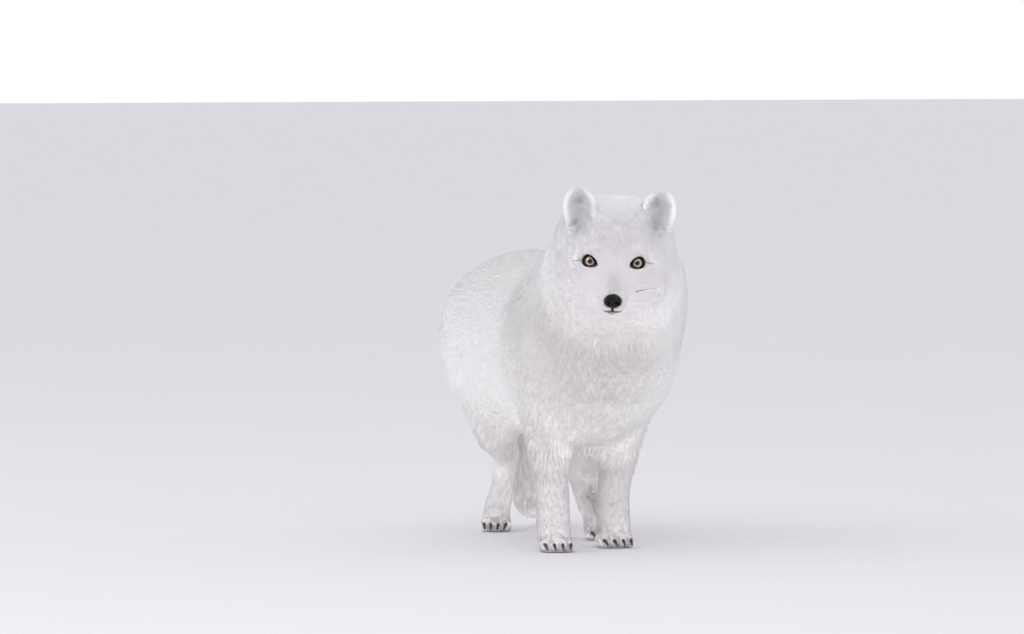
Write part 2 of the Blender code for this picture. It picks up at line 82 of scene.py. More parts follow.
class Wire:
    """A node's output. An expression on wires adds the Math nodes that work it out."""

    def __init__(self, recipe, socket):
        self.recipe = recipe
        self.socket = socket

    def math(self, operation, *others):
        return self.recipe.node("ShaderNodeMath", {"operation": operation}, (self, *others))

    def __add__(self, other):
        return self.math("ADD", other)

    def __sub__(self, other):
        return self.math("SUBTRACT", other)

    def __mul__(self, other):
        return self.math("MULTIPLY", other)

    def __truediv__(self, other):
        return self.math("DIVIDE", other)

    def __rsub__(self, other):
        return self.recipe.node("ShaderNodeMath", {"operation": "SUBTRACT"}, (other, self))

    def __pow__(self, other):
        return self.math("POWER", other)

    def __abs__(self):
        return self.math("ABSOLUTE")

    __radd__ = __add__
    __rmul__ = __mul__

    def below(self, limit, softness):
        """1 where the value is under the limit, falling to 0 over the softness above it."""
        settings = {"interpolation_type": "SMOOTHSTEP"}
        inputs = {"Value": self, "From Min": limit, "From Max": limit + softness, "To Min": 1, "To Max": 0}
        return self.recipe.node("ShaderNodeMapRange", settings, inputs)

    def above(self, limit, softness):
        return 1 - self.below(limit, softness)


class Recipe:
    """One material. Its wires take arithmetic, so that a pattern in it reads as a formula."""

    def __init__(self, name, **shader_values):
        self.material = bpy.data.materials.new(name)
        self.material.use_nodes = True
        self.nodes = self.material.node_tree.nodes
        self.links = self.material.node_tree.links
        self.shader = self.nodes["Principled BSDF"]
        for socket, value in shader_values.items():
            self.feed(self.shader.inputs[socket.replace("_", " ")], value)

    def feed(self, socket, value):
        if isinstance(value, Wire):
            self.links.new(value.socket, socket)
        elif isinstance(value, tuple) and len(value) == 3 and socket.type == "RGBA":
            socket.default_value = (*value, 1)
        else:
            socket.default_value = value

    def node(self, kind, settings=None, inputs=(), output=0):
        """Adds a node: its settings first, then its sockets by place or by name."""
        made = self.nodes.new(kind)
        for name, value in (settings or {}).items():
            setattr(made, name, value)
        named = inputs.items() if isinstance(inputs, dict) else enumerate(inputs)
        for key, value in named:
            self.feed(made.inputs[key], value)
        return Wire(self, made.outputs[output])

    def place(self, rotation=(0, 0, 0), location=(0, 0, 0), scale=(1, 1, 1)):
        """Object coordinates, turned, scaled and moved."""
        where = self.node("ShaderNodeTexCoord", output="Object")
        inputs = {"Vector": where, "Rotation": rotation, "Location": location, "Scale": scale}
        return self.node("ShaderNodeMapping", {}, inputs)

    def split(self, vector):
        """The three numbers of a vector."""
        made = self.node("ShaderNodeSeparateXYZ", {}, (vector,))
        return [Wire(self, output) for output in made.socket.node.outputs]

    def join(self, *numbers):
        return self.node("ShaderNodeCombineXYZ", {}, numbers)

    def noise(self, vector, scale, detail=2.0, roughness=0.5):
        inputs = {"Vector": vector, "Scale": scale, "Detail": detail, "Roughness": roughness}
        return self.node("ShaderNodeTexNoise", {}, inputs)

    def mix(self, amount, first, second):
        """The first colour where amount is 0, the second where it is 1."""
        settings = {"data_type": "RGBA", "clamp_factor": True}
        # the colours of a Mix node are its sockets 6 and 7, and the mixed colour comes out of socket 2
        return self.node("ShaderNodeMix", settings, {"Factor": amount, 6: first, 7: second}, output=2)

    def bump(self, height, strength, distance):
        inputs = {"Height": height, "Strength": strength, "Distance": distance}
        self.feed(self.shader.inputs["Normal"], self.node("ShaderNodeBump", {}, inputs))

    def finish(self, **sockets):
        for socket, value in sockets.items():
            self.feed(self.shader.inputs[socket.replace("_", " ")], value)
        return self.material


bpy.ops.mesh.primitive_plane_add(size=60, location=(0, 0, 0))
floor = bpy.context.object
floor.name = "floor"
floor_recipe = Recipe("pale_floor", Roughness=0.9)
grit = floor_recipe.noise(floor_recipe.place(), 6.0, detail=6, roughness=0.6)
pale = floor_recipe.mix(grit, (0.655, 0.650, 0.678), (0.685, 0.680, 0.708))
floor.data.materials.append(floor_recipe.finish(Base_Color=pale))

world = bpy.data.worlds.new("studio")
world.use_nodes = True
world.node_tree.nodes["Background"].inputs["Color"].default_value = (0.90, 0.895, 0.92, 1)
world.node_tree.nodes["Background"].inputs["Strength"].default_value = 1.12
bpy.context.scene.world = world
bpy.context.scene.view_settings.view_transform = "Standard"


def studio_light(name, location, size, power, colour=(1.0, 1.0, 1.0)):
    """A square lamp that points at the fox."""
    bpy.ops.object.light_add(type="AREA", location=location)
    light = bpy.context.object
    light.name = name
    light.data.size = size
    light.data.energy = power
    light.data.color = colour
    light.rotation_euler = (Vector((0, 0, 0.2)) - Vector(location)).to_track_quat("-Z", "Y").to_euler()
    return light


studio_light("key_light", (-0.9, -3.2, 2.6), 1.2, 12)
eye_light = studio_light("eye_light", (-2.3, -1.9, 2.2), 1.3, 340)
eye_light.visible_diffuse = False
studio_light("front_light", (0.4, -4.4, 0.9), 3.0, 24)
studio_light("side_light", (-3.6, 1.4, 1.5), 3.0, 24, (0.99, 0.99, 1.0))
under_light = studio_light("under_light", (-0.05, 0.0, 0.004), 2.8, 16, (1.0, 0.985, 0.985))
under_light.rotation_euler = (math.pi, 0, 0)
under_light.visible_camera = False


# Skin -------------------------------------------------------------------------------------------------
# One hide over the whole fox. It starts as the outline of the coat, fused from the frame's flesh and
# smoothed, and then sinks by the depth of the fur. Lids and lips are shaped in it.

# The head's own frame lies half way between the eyes: X towards the left eye, -Y out over the nose and Z
# up through the crown
NOSE_PLACE = (0, -0.0618, -0.0283)
NOSE_DROP = math.atan2(0.0283, 0.0618)  # how far the nose lies below the head's -Y, as an angle


def middle(node):
    low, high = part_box(node)
    return (low + high) / 2


def head_frame():
    """The head's frame as a matrix, from the places of the eyes and the nose."""
    origin = (middle("eye_left") + middle("eye_right")) / 2
    across = (middle("eye_left") - middle("eye_right")).normalized()
    backwards = origin - middle("nose")
    backwards = (backwards - across * backwards.dot(across)).normalized()
    upwards = across.cross(backwards)
    y_axis = backwards * math.cos(NOSE_DROP) - upwards * math.sin(NOSE_DROP)
    z_axis = backwards * math.sin(NOSE_DROP) + upwards * math.cos(NOSE_DROP)
    turn = Matrix((across, y_axis, z_axis)).transposed().to_4x4()
    return Matrix.Translation(origin) @ turn


HEAD = head_frame()
EYE_OFFSET = (middle("eye_left") - middle("eye_right")).length / 2  # from the middle of the head to an eye
EYE_RADIUS = (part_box("eye_left")[1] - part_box("eye_left")[0]).z / 2
head_origin = np.array(HEAD.translation)
head_axes = np.array(HEAD.to_3x3())


def in_head(points):
    """World points, one a row, in the head's own frame."""
    return (points - head_origin) @ head_axes


def smoothstep(low, high, value):
    """0 up to the low value, 1 from the high one, and smooth between them."""
    part = np.clip((value - low) / (high - low), 0, 1)
    return part * part * (3 - 2 * part)


SKIN_CELL = 0.0020
FLESH_SWELL = 0.0004  # the outline is drawn out a little, so that the voxels fuse its parts
EAR_SWELL = 0.0009
FLESH = ("head", "lower_jaw", "neck", "trunk", "tail", "leg_", "paw_", "ear_")
FILLING = ("eye_", "nose")

flesh_nodes = [name for name in sorted(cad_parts) if name.startswith(FLESH)]
filling_nodes = [name for name in sorted(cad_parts) if name.startswith(FILLING)]


def copy_of(node):
    """A loose copy of a node's mesh, its doubled points merged."""
    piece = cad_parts[node].copy()
    piece.data = piece.data.copy()
    piece.parent = None
    piece.name = f"{node}_copy"
    for key in list(piece.keys()):
        del piece[key]
    bpy.context.collection.objects.link(piece)
    builder = bmesh.new()
    builder.from_mesh(piece.data)
    bmesh.ops.remove_doubles(builder, verts=builder.verts, dist=1e-6)
    builder.to_mesh(piece.data)
    builder.free()
    return piece


def apply_modifier(piece, kind, **settings):
    modifier = piece.modifiers.new(kind.lower(), kind)
    for name, value in settings.items():
        setattr(modifier, name, value)
    bpy.ops.object.select_all(action="DESELECT")
    piece.select_set(True)
    bpy.context.view_layer.objects.active = piece
    bpy.ops.object.modifier_apply(modifier=modifier.name)


copies = [copy_of(node) for node in flesh_nodes + filling_nodes]
for piece in copies:
    swell = EAR_SWELL if piece.name.startswith("ear_") else FLESH_SWELL
    apply_modifier(piece, "DISPLACE", strength=swell, mid_level=0)
bpy.ops.object.select_all(action="DESELECT")
for piece in copies:
    piece.select_set(True)
bpy.context.view_layer.objects.active = copies[0]
bpy.ops.object.join()
skin = bpy.context.object
skin.name = skin.data.name = "skin"
apply_modifier(skin, "REMESH", mode="VOXEL", voxel_size=SKIN_CELL)


def points_of(mesh):
    flat = np.empty(len(mesh.vertices) * 3, np.float32)
    mesh.vertices.foreach_get("co", flat)
    return flat.reshape(-1, 3).astype(np.float64)


def edges_of(mesh):
    flat = np.empty(len(mesh.edges) * 2, np.int32)
    mesh.edges.foreach_get("vertices", flat)
    return flat.reshape(-1, 2)


def normals_of(mesh):
    flat = np.empty(len(mesh.vertices) * 3, np.float32)
    mesh.vertex_normals.foreach_get("vector", flat)
    return flat.reshape(-1, 3).astype(np.float64)


def unit(vectors):
    return vectors / np.maximum(np.linalg.norm(vectors, axis=1, keepdims=True), 1e-9)


def spread(values, edges, passes, weight=0.5):
    """Evens out a field over the mesh: each pass moves every value towards the mean of its neighbours."""
    count = len(values)
    first, second = edges.T
    degree = np.bincount(first, minlength=count) + np.bincount(second, minlength=count)
    columns = values.reshape(count, -1).copy()
    share = np.broadcast_to(np.asarray(weight, float), (count,))
    for _ in range(passes):
        for column in columns.T:
            total = np.bincount(first, column[second], count) + np.bincount(second, column[first], count)
            column += share * (total / degree - column)
    return columns.reshape(values.shape)


def set_points(mesh, points):
    mesh.vertices.foreach_set("co", points.astype(np.float32).ravel())
    mesh.update()


# Which node of the frame lies nearest to each point of the hide
frame_corners = []
frame_faces = []
face_owner = []
for index, node in enumerate(flesh_nodes):
    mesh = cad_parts[node].data
    start = len(frame_corners)
    frame_corners.extend(vertex.co.copy() for vertex in mesh.vertices)
    for polygon in mesh.polygons:
        frame_faces.append([start + corner for corner in polygon.vertices])
        face_owner.append(index)
frame_tree = BVHTree.FromPolygons(frame_corners, frame_faces)


def owners_of(points):
    return np.array([face_owner[frame_tree.find_nearest(Vector(point))[2]] for point in points])


def kinds_of(owner):
    """For each kind of flesh, which points of the hide belong to it."""
    kinds = {}
    for kind in FLESH:
        numbers = [number for number, node in enumerate(flesh_nodes) if node.startswith(kind)]
        kinds[kind] = np.isin(owner, numbers)
    return kinds


def off_eyes_of(points):
    """How far each point of the head's frame is from the nearer eye."""
    distances = [np.linalg.norm(points - (side * EYE_OFFSET, 0, 0), axis=1) for side in (-1, 1)]
    return np.minimum(*distances)


# The fused outline is evened out: most on the body, and least round the eyes, the nose and the ears
outline = points_of(skin.data)
belongs = kinds_of(owners_of(outline))
edges = edges_of(skin.data)
face_distance = np.linalg.norm(in_head(outline) - (0, -0.015, -0.015), axis=1)
broad = np.minimum(smoothstep(0.045, 0.085, face_distance), smoothstep(0.030, 0.075, outline[:, 2]))
broad[belongs["ear_"]] = 0
broad = spread(broad, edges, 10)
outline = spread(outline, edges, 90, 0.5 * broad)
junction = np.exp(-(((face_distance - 0.105) / 0.035) ** 2)) * ~belongs["ear_"] * broad
outline = spread(outline, edges, 260, 0.5 * junction)
at_head = in_head(outline)
off_eyes = off_eyes_of(at_head)
off_nose = np.linalg.norm(at_head - NOSE_PLACE, axis=1)
cheek = smoothstep(0.011, 0.020, off_eyes) * smoothstep(0.011, 0.030, off_nose) * (face_distance < 0.11)
cheek[belongs["ear_"]] = 0
outline = spread(outline, edges, 70, 0.5 * spread(cheek, edges, 5))
jowl = smoothstep(0.022, 0.034, off_nose) * smoothstep(0.022, 0.034, off_eyes)
jowl *= 1 - smoothstep(-0.012, 0.004, at_head[:, 2])
jowl *= (1 - smoothstep(0.070, 0.115, face_distance)) * ~belongs["ear_"]
outline = spread(outline, edges, 260, 0.5 * spread(jowl, edges, 8))
outline = spread(outline, edges, 110, 0.5 * spread(broad * (face_distance > 0.09), edges, 20))
gentle = np.where(belongs["ear_"], 0.18, 0.45)
outline = spread(outline, edges, 12, spread(gentle, edges, 4))
set_points(skin.data, outline)


def refine(where):
    """Cuts each face that lies where the rule says into four."""
    builder = bmesh.new()
    builder.from_mesh(skin.data)
    builder.faces.ensure_lookup_table()
    middles = np.array([face.calc_center_median() for face in builder.faces])
    chosen = [builder.faces[number] for number in np.flatnonzero(where(in_head(middles)))]
    rim = list({edge for face in chosen for edge in face.edges})
    bmesh.ops.subdivide_edges(builder, edges=rim, cuts=1, use_grid_fill=True, smooth=0.0)
    builder.to_mesh(skin.data)
    builder.free()
    skin.data.update()


def on_muzzle(points):
    near_muzzle = np.linalg.norm(points - (0, -0.035, -0.025), axis=1) < 0.045
    return near_muzzle | (off_eyes_of(points) < 0.022)


def on_lips_and_lids(points):
    near_mouth = np.linalg.norm(points - (0, -0.062, -0.036), axis=1) < 0.018
    return near_mouth | (off_eyes_of(points) < 0.0165)


# Finer cells on the muzzle, and finer still on the lips and the lids
refine(on_muzzle)
refine(on_lips_and_lids)

edges = edges_of(skin.data)
outline = spread(points_of(skin.data), edges, 2, 0.4)
set_points(skin.data, outline)
outward = normals_of(skin.data)
owner = owners_of(outline)
belongs = kinds_of(owner)
at_head = in_head(outline)
up = outline[:, 2]


def bell(*ways):
    """1 in the middle and fading outwards, from (distance, width) along each way."""
    return np.exp(-sum((distance / width) ** 2 for distance, width in ways))


# Toes: the paw swells over each claw and dips between one claw and the next
TOE_SWELL = 0.0016
TOE_DIP = 0.0030
for corner in ("front_left", "front_right", "hind_left", "hind_right"):
    claw_nodes = [node for node in sorted(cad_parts) if node.startswith(f"claw_{corner}")]
    claws = [np.array(middle(node)) for node in claw_nodes]
    heading = np.mean(claws, axis=0) - np.array(middle(f"paw_{corner}"))
    heading = heading * (1, 1, 0) / np.linalg.norm(heading[:2])
    sideways = np.array((-heading[1], heading[0], 0))
    claws.sort(key=lambda claw: claw @ sideways)
    for claw in claws:
        place = outline - (claw - heading * 0.006)
        swell = bell((place @ sideways, 0.0045), (place @ heading, 0.009), (place[:, 2], 0.010))
        outline += outward * (TOE_SWELL * swell)[:, None]
    for first, second in zip(claws, claws[1:]):
        place = outline - ((first + second) / 2 - heading * 0.004)
        dip = bell((place @ sideways, 0.0016), (place @ heading, 0.011), (place[:, 2], 0.012))
        outline -= outward * (TOE_DIP * dip)[:, None]

# Depth of the coat: deep on the trunk, the neck and the tail, thin on the face, the legs and the paws
face_distance = np.linalg.norm(at_head - (0, -0.038, -0.024), axis=1)
depth = np.full(len(outline), 0.021)
depth[belongs["tail"]] = 0.018
for kind in ("head", "lower_jaw"):
    depth[belongs[kind]] = (0.0022 + 0.016 * smoothstep(0.045, 0.125, face_distance))[belongs[kind]]
depth[belongs["leg_"]] = (0.0042 + 0.0100 * smoothstep(0.06, 0.13, up))[belongs["leg_"]]
depth[belongs["paw_"]] = 0.0018
depth[belongs["ear_"]] = 0.0010
depth = spread(depth, edges, 70, np.where(belongs["ear_"] | (face_distance < 0.05), 0.08, 0.5))
depth = np.minimum(depth, 0.0014 + 0.22 * np.maximum(off_eyes_of(at_head) - 0.010, 0))

# Lie of the coat: back from the nose over the head, down the chest and the legs, back along the trunk,
# and up the ears
head_part = belongs["head"] | belongs["lower_jaw"]
flow = np.zeros_like(outline)
flow[belongs["trunk"]] = (0, 1, -0.38)
flow[belongs["neck"]] = (0, 0.80, -0.70)
flow[belongs["tail"]] = (0.12, 0.20, -1)
flow[belongs["leg_"]] = (0, 0.12, -1)
flow[belongs["paw_"]] = (0, -0.55, -0.55)
away = unit(at_head - (0, -0.075, -0.030)) @ head_axes.T
flow[head_part] = away[head_part]
for node in ("ear_left", "ear_right"):
    mine = owner == flesh_nodes.index(node)
    low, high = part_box(node)
    root = Vector(((low.x + high.x) / 2, (low.y + high.y) / 2, low.z - 0.004))
    flow[mine] = unit(outline[mine] - np.array(root))
chest = belongs["neck"] | belongs["trunk"]
forward = smoothstep(0.05, 0.75, -outward[:, 1]) * chest
flow += forward[:, None] * np.array((0, -0.50, -1.2))
flow = spread(unit(flow), edges, 60, np.where(belongs["ear_"], 0.05, 0.5))
body_part = ~(belongs["ear_"] | head_part | belongs["paw_"])
flow = spread(flow, edges, 240, 0.5 * spread(body_part.astype(float), edges, 20))
flow = unit(flow - outward * np.sum(flow * outward, axis=1, keepdims=True))

# The skin itself: the outline sunk by the depth of the coat
inside = outline - outward * depth[:, None]
inside = spread(inside, edges, 12, 0.5 * smoothstep(0.004, 0.012, depth))


# Each eye's own frame: X towards the left of the head, higher at the outer corner, and Z off the head.
# The rim and the opening are drops: their middle's place outwards, half their length and half their height
LID_TILT = math.radians(19)
RIM = (-0.0014, 0.0102, 0.0068)
OPENING = (-0.0002, 0.0062, 0.0050)


def eye_frame(side):
    """The frame of the left eye for 1 and of the right eye for -1."""
    gaze = Vector((side * 0.20, -0.93, 0.28)).normalized()
    leftwards = Vector((0, 0, 1)).cross(gaze).normalized()
    corner = Matrix.Rotation(side * LID_TILT, 3, gaze) @ leftwards
    turn = Matrix((corner, gaze.cross(corner), gaze)).transposed().to_4x4()
    return HEAD @ Matrix.Translation((side * EYE_OFFSET, 0, 0)) @ turn


def teardrop(out, rise, centre, length, height):
    """How far out of a drop-shaped outline, narrow at the inner corner. It is 1 on the outline."""
    along = (out - centre) / length
    narrow = 1 + along * 0.32
    return (along**2 + (rise / (narrow * height)) ** 2) ** 0.5


def in_eye(points, side):
    """World points in the frame of one eye: out towards its outer corner, up, and off the head."""
    inverse = np.array(eye_frame(side).inverted())
    leftwards, rise, off = (points @ inverse[:3, :3].T + inverse[:3, 3]).T
    return leftwards * side, rise, off


# Lids: outside the opening the skin lies just over the eyeball and runs out to the face. Inside the
# opening it is well below the surface of the ball.
LID = 0.0010
LEAST_LID = 0.0007
SOCKET = 0.0035
for side in (-1, 1):
    out, rise, off = in_eye(inside, side)
    out = np.clip(out, -0.024, 0.024)
    open_reach = teardrop(out, rise, *OPENING)
    near = (off > -0.002) & (np.hypot(out, rise) < 0.018)
    ball = np.sqrt(np.maximum(EYE_RADIUS**2 - out**2 - rise**2, (0.45 * EYE_RADIUS) ** 2))
    lid = ball + LID
    lid += (off - lid) * smoothstep(1.10, 1.75, open_reach)
    covered = np.hypot(out, rise) < 0.89 * EYE_RADIUS
    lid = np.where(covered, np.maximum(lid, ball + LEAST_LID), lid)
    goal = ball - SOCKET + (lid - ball + SOCKET) * smoothstep(0.95, 1.06, open_reach)
    hold = (1 - smoothstep(1.8, 2.3, open_reach)) * near
    inside += (hold * (goal - off))[:, None] * np.array(eye_frame(side).to_3x3())[:, 2]
    lid_skin = smoothstep(1.15, 1.4, open_reach) * (1 - smoothstep(2.2, 3.0, open_reach)) * near
    inside = spread(inside, edges, 6, 0.4 * lid_skin)

# Mouth: a crease round the front of the muzzle, lower at its sides, and a groove from it up to the nose
MOUTH_HEIGHT = -0.0414
MOUTH_REACH = 0.0112
MOUTH_CURVE = 12
MOUTH_DEPTH = 0.0012

across, along, rise = in_head(inside).T
in_mouth = bell((rise - MOUTH_HEIGHT + MOUTH_CURVE * across**2, 0.0009))
in_mouth *= 1 - smoothstep(0.8, 1.0, np.abs(across) / MOUTH_REACH)
in_groove = bell((across, 0.0011)) * smoothstep(-0.0430, -0.0415, rise) * (rise < -0.030)
in_mouth = np.maximum(in_mouth, in_groove) * (1 - smoothstep(-0.050, -0.040, along))
inside -= outward * (MOUTH_DEPTH * in_mouth)[:, None]
set_points(skin.data, inside)
skin.data.shade_smooth()


# Colours of the fox -----------------------------------------------------------------------------------
# White, and a little greyer on the tail. The face and the chest are greyer, partly in their own tone and
# partly as painted shade. The lower legs are painted darker downwards as shade, and the toes carry dirt and
# painted shade. The eyes and the lips have black rims. Painted shade greys the bridge and the round of the
# nose and the rims of the ears, and painted shadow darkens the ear holes. Skin and coat take their marks
# from one formula.

head_inverse = HEAD.inverted()
head_turn = head_inverse.to_euler()
head_shift = head_inverse.translation

# the first two are painted shadow in the hollows of the ears, the last a dark mark at the tip of the left
# ear
# ear (-1 the right one), how far over from its middle, how far up, radius, strength
EAR_SHADOWS_AND_MARKS = (
    (-1, -0.0036, -0.0120, 0.0045, 0.38),
    (1, 0.0040, -0.0160, 0.0080, 0.08),
    (1, -0.0010, 0.0165, 0.0030, 0.3),
)


def ear_middle(side):
    """The middle of the left ear for 1 and of the right ear for -1, in the head's frame."""
    return head_inverse @ middle("ear_left" if side > 0 else "ear_right")


def oval(*ways):
    """How far out of an oval, from (distance, half axis) along each way. It is 1 on the outline."""
    return sum((distance / half_axis) ** 2 for distance, half_axis in ways) ** 0.5


def coat_colour(recipe):
    """The colour of the coat at a place."""
    x, y, z = recipe.split(recipe.place())
    across, along, rise = recipe.split(recipe.place(rotation=head_turn, location=head_shift))
    cloudy = recipe.noise(recipe.place(), 9.0, detail=3)
    colour = recipe.mix(z.above(0.05, 0.20), (0.965, 0.945, 0.94), (0.985, 0.98, 0.985))
    colour = recipe.mix(cloudy.above(0.45, 0.25) * 0.4, colour, (0.955, 0.94, 0.945))

    # the tail is a little greyer, and the legs are painted darker downwards as painted shade
    behind = y.above(0.24, 0.03)
    colour = recipe.mix(behind * z.below(0.22, 0.08) * 0.7, colour, (0.945, 0.925, 0.92))
    lower_leg_shade = z.below(0.04, 0.17) * y.below(0.22, 0.03)
    colour = recipe.mix(lower_leg_shade * 0.85, colour, (0.73, 0.705, 0.715))

    # dirt and painted shade on the toes near the ground, and dark flecks on the front legs
    dirt_and_shade = recipe.noise(recipe.place(), 160.0, detail=3).above(0.45, 0.14)
    toes = z.below(0.012, 0.022) * y.below(0.24, 0.02)
    colour = recipe.mix(dirt_and_shade * toes * 0.75, colour, (0.44, 0.385, 0.395))
    flecks = recipe.noise(recipe.place(scale=(1, 1, 0.45)), 260.0, detail=2).above(0.56, 0.10)
    front_legs = z.above(0.020, 0.02) * z.below(0.09, 0.05) * y.below(-0.05, 0.03)
    colour = recipe.mix(flecks * front_legs * 0.28, colour, (0.50, 0.46, 0.49))

    # the chest and the shoulder are a little warmer in their own tone, and greyer as painted shade
    bib_tint_and_shade = oval((x + 0.030, 0.075), (z - 0.245, 0.080)).below(0.5, 0.9) * y.below(-0.10, 0.05)
    colour = recipe.mix(bib_tint_and_shade * 0.85, colour, (0.83, 0.80, 0.785))

    # faint grey strokes on the right of the nape, and streaks up the forehead
    strokes = recipe.noise(recipe.join(x, y * 0.25, z), 250.0).above(0.50, 0.14)
    nape = ((x + 0.086) ** 2 + (y + 0.110) ** 2 * 0.4 + (z - 0.318) ** 2) ** 0.5
    colour = recipe.mix(strokes * nape.below(0.014, 0.026) * 0.36, colour, (0.55, 0.51, 0.52))
    strands = recipe.noise(recipe.join(across, along * 0.12, rise * 0.12), 330.0).above(0.48, 0.15)
    brow = oval((across, 0.034), (rise - 0.026, 0.026)).below(0.3, 0.8)
    colour = recipe.mix(strands * brow * 0.35, colour, (0.66, 0.63, 0.66))

    # a yellowish stain on the chest
    stain = ((x + 0.006) * (x + 0.006) * 2.2 + (z - 0.200) * (z - 0.200)) ** 0.5
    speckle = recipe.noise(recipe.place(scale=(1, 1, 0.35)), 120.0, detail=3).above(0.42, 0.3)
    stained = stain.below(0.0, 0.050) * y.below(-0.15, 0.04) * speckle
    colour = recipe.mix(stained * 0.35, colour, (0.74, 0.71, 0.60))

    # the short fur of the face is greyer, partly in its own tone and partly as painted shade
    face = (across * across + (along + 0.035) * (along + 0.035) + (rise + 0.010) * (rise + 0.010)) ** 0.5
    colour = recipe.mix(face.below(0.045, 0.070), colour, (0.680, 0.655, 0.678))

    # painted shade greys the rims of the ears round their hollows, painted shadow darkens the hole of the
    # right ear and the low hollow of the left one, and the thin fur at the tip of the left ear is darker
    for side in (-1, 1):
        heart = ear_middle(side)
        hollow = oval((across - heart.x, 0.013), (rise - heart.z + 0.004, 0.018)).below(0.55, 0.5)
        hollow = hollow * along.below(heart.y, 0.004)
        ear_rim_shade = oval((across - heart.x, 0.024), (rise - heart.z, 0.030)).below(0.85, 0.4)
        ear_rim_shade = ear_rim_shade * along.below(heart.y + 0.012, 0.006)
        colour = recipe.mix(ear_rim_shade * hollow.below(0.2, 0.5) * 0.35, colour, (0.76, 0.75, 0.78))
    for side, over, up, radius, strength in EAR_SHADOWS_AND_MARKS:
        heart = ear_middle(side)
        spot = ((across - heart.x - over) ** 2 + (rise - heart.z - up) ** 2) ** 0.5
        shadow_and_mark = spot.below(radius * 0.3, radius) * along.below(heart.y, 0.004)
        colour = recipe.mix(shadow_and_mark * strength, colour, (0.30, 0.29, 0.31))

    # painted shade: grey along the bridge of the nose and round the nose leather
    bridge_shade = oval((across, 0.011), (along + 0.045, 0.026)).below(0.35, 0.8)
    colour = recipe.mix(bridge_shade * rise.above(-0.034, 0.004) * 0.70, colour, (0.55, 0.51, 0.53))
    muzzle = oval((across, 0.017), (rise + 0.034, 0.014)).below(0.55, 0.6)
    colour = recipe.mix(muzzle * along.below(-0.048, 0.008) * 0.8, colour, (0.52, 0.49, 0.505))

    # black rims of the eyes, each with a thin grey streak from its outer corner
    for side in (-1, 1):
        inverse = eye_frame(side).inverted()
        in_frame = recipe.place(rotation=inverse.to_euler(), location=inverse.translation)
        leftwards, eye_rise, off = recipe.split(in_frame)
        out = leftwards * side
        streak = abs(eye_rise + out * 0.55 - 0.0024).below(0.0003, 0.0014)
        streak = streak * out.above(0.008, 0.001) * out.below(0.013, 0.010)
        colour = recipe.mix(streak * off.above(-0.010, 0.004) * 0.75, colour, (0.20, 0.18, 0.18))
        rim = teardrop(out, eye_rise, *RIM).below(0.97, 0.10)
        colour = recipe.mix(rim * off.above(0.001, 0.002), colour, (0.005, 0.003, 0.003))

    # the tip of the lower lip is pink, and the line of the lips and the groove above it are black
    front = along.below(-0.052, 0.008)
    pink = oval((across + 0.0008, 0.0058), (rise - MOUTH_HEIGHT + 0.0052, 0.0070)).below(0.3, 0.8)
    colour = recipe.mix(pink * along.below(-0.034, 0.010) * 0.85, colour, (0.74, 0.36, 0.41))
    lip = abs(rise - MOUTH_HEIGHT + across * across * MOUTH_CURVE) + abs(across) * 0.13
    colour = recipe.mix(lip.below(0.0016, 0.0014) * front, colour, (0.020, 0.013, 0.014))
    groove = abs(across).below(0.0014, 0.0010) * rise.above(MOUTH_HEIGHT, 0.0004) * rise.below(-0.032, 0.001)
    return recipe.mix(groove * front, colour, (0.012, 0.010, 0.011))


skin_recipe = Recipe("fox_skin", Roughness=0.85, Specular_IOR_Level=0.04)
hair_grain = skin_recipe.noise(skin_recipe.place(scale=(1, 1, 0.4)), 900.0, detail=2)
skin_recipe.bump(hair_grain, 0.5, 0.0006)
skin.data.materials.clear()
skin.data.materials.append(skin_recipe.finish(Base_Color=coat_colour(skin_recipe)))


# Coat -------------------------------------------------------------------------------------------------
# Each tuft is a closed sliver. It starts in the skin, rises steeply to a knee, where it is widest, and
# runs on along the lie of the coat to a point at its outline. The roots are scattered over the skin.

skin.data.calc_loop_triangles()
triangles = np.empty(len(skin.data.loop_triangles) * 3, np.int32)
skin.data.loop_triangles.foreach_get("vertices", triangles)
triangles = triangles.reshape(-1, 3)
outline_tree = BVHTree.FromPolygons([Vector(point) for point in outline], triangles.tolist())

# How far a tuft runs along the body, how wide it is, how closely tufts stand and how far they stick out
face = smoothstep(0.024, 0.090, face_distance)
jowls = 1 - smoothstep(-0.010, 0.020, at_head[:, 2])
legs = belongs["leg_"]
reach_out = np.full(len(outline), 0.040)
reach_out[belongs["tail"]] = 0.038
reach_out[belongs["neck"]] = 0.036
reach_out[head_part] = (0.0045 + (0.0135 + 0.0090 * jowls) * face)[head_part]
reach_out[legs] = (0.013 + 0.010 * smoothstep(0.04, 0.13, up))[legs]
reach_out[belongs["paw_"]] = 0.0085
reach_out[belongs["ear_"]] = 0.0060
girth = np.full(len(outline), 0.00085)
girth[head_part] = (0.00045 + 0.00040 * face)[head_part]
girth[legs] = 0.00052
girth[belongs["paw_"]] = 0.00055
girth[belongs["ear_"]] = 0.00050
crowd = np.full(len(outline), 1.0)
crowd[belongs["neck"]] = 1.5
crowd[head_part] = (5.5 - 3.7 * face)[head_part]
crowd[legs] = 2.6
crowd[belongs["paw_"]] = 4.5
crowd[belongs["ear_"]] = 4.0
fluff = np.full(len(outline), 0.0032)
fluff[belongs["tail"]] = 0.0026
fluff[head_part] = (0.0004 + 0.0022 * face)[head_part]
fluff[legs] = 0.0012
fluff[belongs["paw_"]] = 0.0007
fluff[belongs["ear_"]] = 0.0008
reach_out = spread(reach_out, edges, 25)
girth = spread(girth, edges, 25)
crowd = spread(crowd, edges, 15)
fluff = spread(fluff, edges, 25)

# The coat is shaded as the body faces, and in the hollows of the ears as if it faced forwards and up
facing = outward.copy()
hollows = belongs["ear_"] & ((outward @ head_axes)[:, 1] < -0.05)
facing[hollows] = unit(0.35 * outward + np.array((0, -1, 0.45)) @ head_axes.T)[hollows]
facing = unit(spread(facing, edges, 3))

